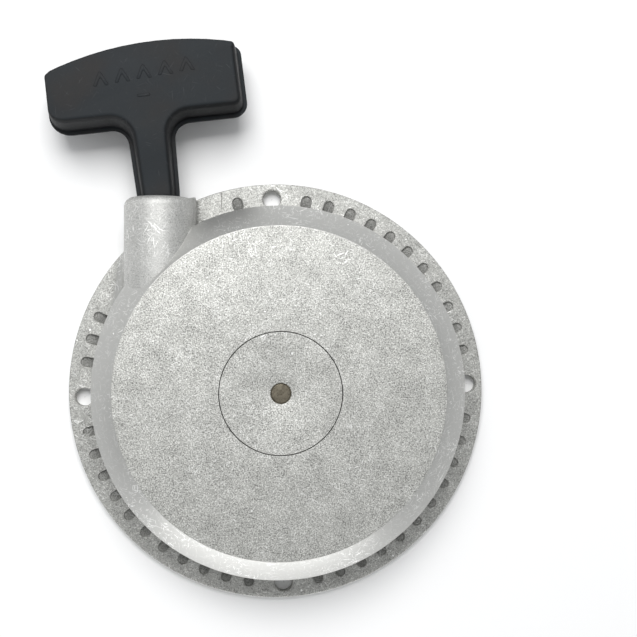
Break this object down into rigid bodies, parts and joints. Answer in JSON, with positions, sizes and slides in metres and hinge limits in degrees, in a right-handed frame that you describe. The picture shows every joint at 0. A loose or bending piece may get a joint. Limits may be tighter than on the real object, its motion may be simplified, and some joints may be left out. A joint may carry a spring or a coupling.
{
  "type": "recoil starter",
  "caption": "Pull-rope recoil starter for a small engine: cast round housing with flange and vents, spring-returned reel, swing-out drive pawls and a T-handle.",
  "frame": {"origin": "centre of the mounting flange's back face, on the reel's axis", "axes": "+Z out of the housing's flat outer face along the reel's axis, +Y the way the handle is pulled, +X to the right seen from outside"},
  "size_m": [0.1737, 0.2193, 0.032],
  "materials": {
    "cast_aluminium": "bead-blasted die casting, lightly scratched",
    "pin_steel": "turned steel with a brown oxide film",
    "grip_rubber": "moulded black rubber with light scuffs",
    "rope_nylon": "braided nylon cord",
    "reel_nylon": "moulded natural nylon",
    "bush_plastic": "smooth black acetal",
    "zinc_steel": "zinc-plated steel",
    "spring_steel": "blued spring steel strip and wire",
    "pawl_steel": "case-hardened steel with bright worn tips",
    "bronze": "sintered bronze, oiled"
  },
  "bodies": {
    "housing": {"housing": "cast_aluminium", "centre_pin": "pin_steel", "rope_guide_bush": "bush_plastic", "recoil_spring": "spring_steel", "thrust_washer": "bronze", "disc_spring": "spring_steel", "retaining_washer": "zinc_steel", "lock_washer": "zinc_steel", "centre_bolt": "zinc_steel"},
    "reel": {"reel": "reel_nylon", "reel_bush": "bronze", "rope_coil": "rope_nylon", "reel_knot": "rope_nylon", "pawl_pin_a": "zinc_steel", "pawl_pin_b": "zinc_steel", "pawl_spring_a": "spring_steel", "pawl_spring_b": "spring_steel"},
    "friction_plate": {"friction_plate": "zinc_steel"},
    "pawl_a": {"pawl_a": "pawl_steel"},
    "pawl_b": {"pawl_b": "pawl_steel"},
    "handle": {"handle_grip": "grip_rubber", "anchor_washer": "zinc_steel", "handle_knot": "rope_nylon", "rope_lead": "rope_nylon"}
  },
  "joints": [
    {"name": "handle_pull", "type": "slide", "parent": "housing", "child": "handle", "axis": [0, 1, 0], "range_m": [0, 0.66], "stiffness_N_per_m": 25, "springref_m": -0.4, "deforming": ["rope_lead"]},
    {"name": "reel_spin", "type": "hinge", "parent": "housing", "child": "reel", "pos_m": [0, 0, 0.0172], "axis": [0, 0, -1], "range_deg": [0, 840], "deforming": ["recoil_spring"]},
    {"name": "plate_turn", "type": "hinge", "parent": "reel", "child": "friction_plate", "pos_m": [0, 0, 0.0073], "axis": [0, 0, 1], "range_deg": [0, 35], "stiffness_Nm_per_rad": 0.02, "springref_deg": -11.46},
    {"name": "pawl_a_swing", "type": "hinge", "parent": "reel", "child": "pawl_a", "pos_m": [0, 0.024, 0.0103], "axis": [0, 0, 1], "range_deg": [0, 24.1], "deforming": ["pawl_spring_a"]},
    {"name": "pawl_b_swing", "type": "hinge", "parent": "reel", "child": "pawl_b", "pos_m": [0, -0.024, 0.0103], "axis": [0, 0, 1], "range_deg": [0, 24.1], "deforming": ["pawl_spring_b"]}
  ],
  "couplings": [
    {"joint": "reel_spin", "follows": "handle_pull", "rad_per_m": 22.08},
    {"joint": "pawl_a_swing", "follows": "plate_turn", "ratio": 0.68571},
    {"joint": "pawl_b_swing", "follows": "plate_turn", "ratio": 0.68571}
  ]
}
